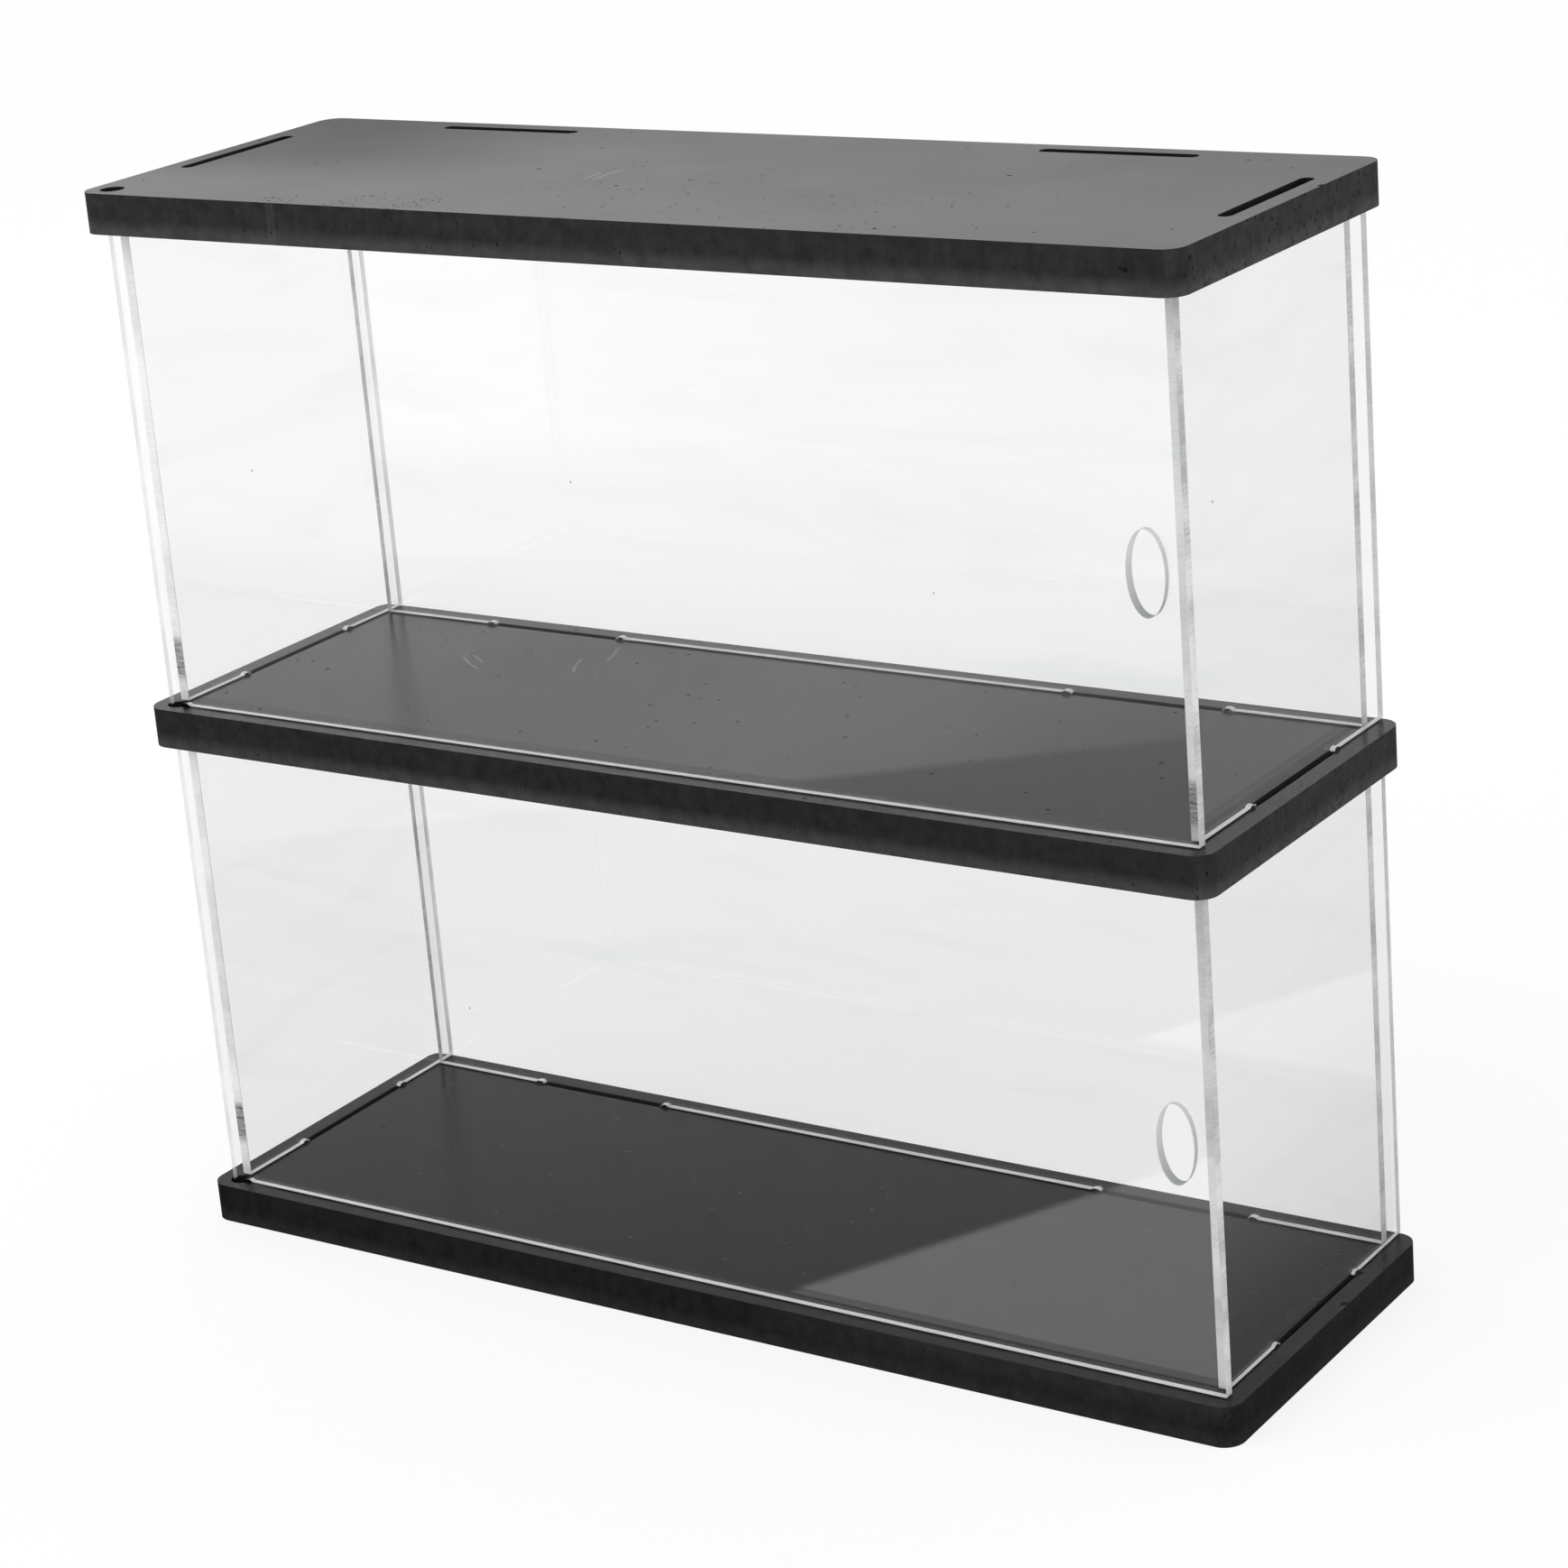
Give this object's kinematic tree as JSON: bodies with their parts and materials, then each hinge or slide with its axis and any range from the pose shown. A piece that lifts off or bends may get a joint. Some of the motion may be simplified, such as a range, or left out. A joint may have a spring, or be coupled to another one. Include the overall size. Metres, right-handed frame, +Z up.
{
  "type": "figurine display case",
  "caption": "Tall shallow display case of flat dark boards with clear slotted-in side, back and door panels; each door pivots at its left end and has an oval finger hole.",
  "frame": {"origin": "middle of the underside of the bottom board, on the surface the case stands on", "axes": "+X to the right along the case's length as seen from the doors' side, +Y to the back, +Z up"},
  "size_m": [0.298, 0.0964, 0.27],
  "materials": {
    "board": "satin black with fine pits",
    "clear_sheet": "clear, polished faces and saw-cut frosted edges"
  },
  "bodies": {
    "case": {"bottom_board": "board", "middle_board": "board", "top_board": "board", "lower_left_panel": "clear_sheet", "lower_right_panel": "clear_sheet", "lower_back_panel": "clear_sheet", "upper_left_panel": "clear_sheet", "upper_right_panel": "clear_sheet", "upper_back_panel": "clear_sheet"},
    "lower_door_body": {"lower_door": "clear_sheet"},
    "upper_door_body": {"upper_door": "clear_sheet"}
  },
  "joints": [
    {"name": "lower_door_hinge", "type": "hinge", "parent": "case", "child": "lower_door_body", "pos_m": [-0.1424, -0.0426, 0.07], "axis": [0, 0, 1], "range_deg": [-220, 0.4]},
    {"name": "upper_door_hinge", "type": "hinge", "parent": "case", "child": "upper_door_body", "pos_m": [-0.1424, -0.0426, 0.2], "axis": [0, 0, 1], "range_deg": [-220, 0.4]}
  ]
}
